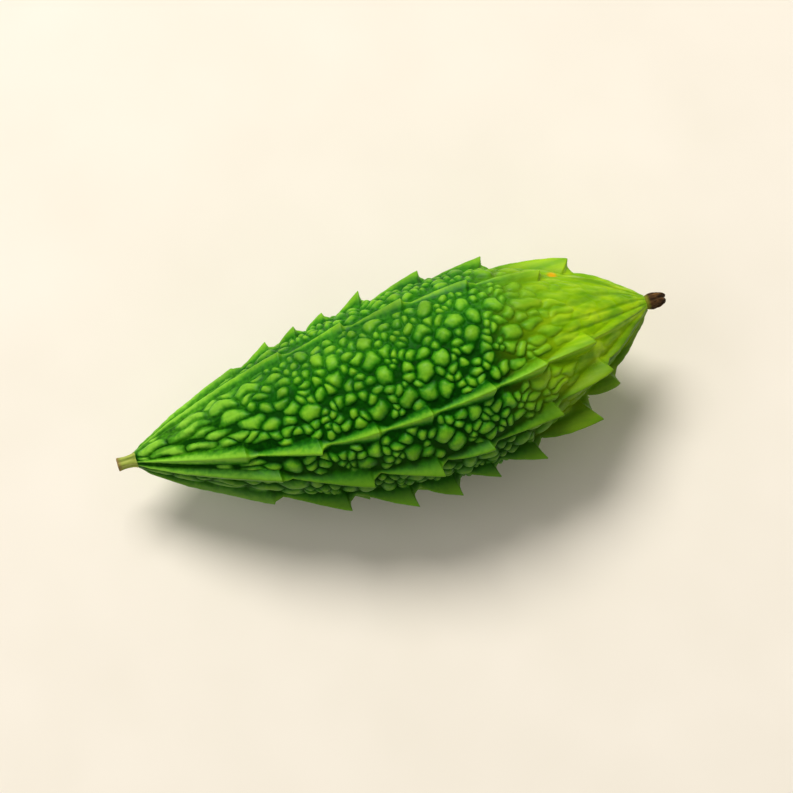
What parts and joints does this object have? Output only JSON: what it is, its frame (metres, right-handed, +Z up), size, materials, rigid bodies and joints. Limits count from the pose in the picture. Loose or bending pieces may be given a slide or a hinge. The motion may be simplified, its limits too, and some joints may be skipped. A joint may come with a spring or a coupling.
{
  "type": "bitter gourd",
  "caption": "Whole bitter gourd: a green spindle-shaped fruit with toothed lengthwise ridges and packed warts, a cut stalk stub and a dried flower tip, lying on its side.",
  "frame": {"origin": "on the surface that the gourd lies on, under the middle of its bounding box", "axes": "+X from the stalk to the dried tip, +Z up from the surface, +Y across"},
  "size_m": [0.1304, 0.0524, 0.0462],
  "materials": {
    "skin": "waxy satin green skin, dark in the furrows, lighter on the warts, yellow-green at the blossom end",
    "stalk": "matt, fibrous, pale yellow-green with a browned cut end",
    "dried_tip": "matt, withered, dark brown"
  },
  "bodies": {
    "root": {"fruit": "skin", "stalk": "stalk", "dried_tip": "dried_tip"}
  },
  "joints": []
}
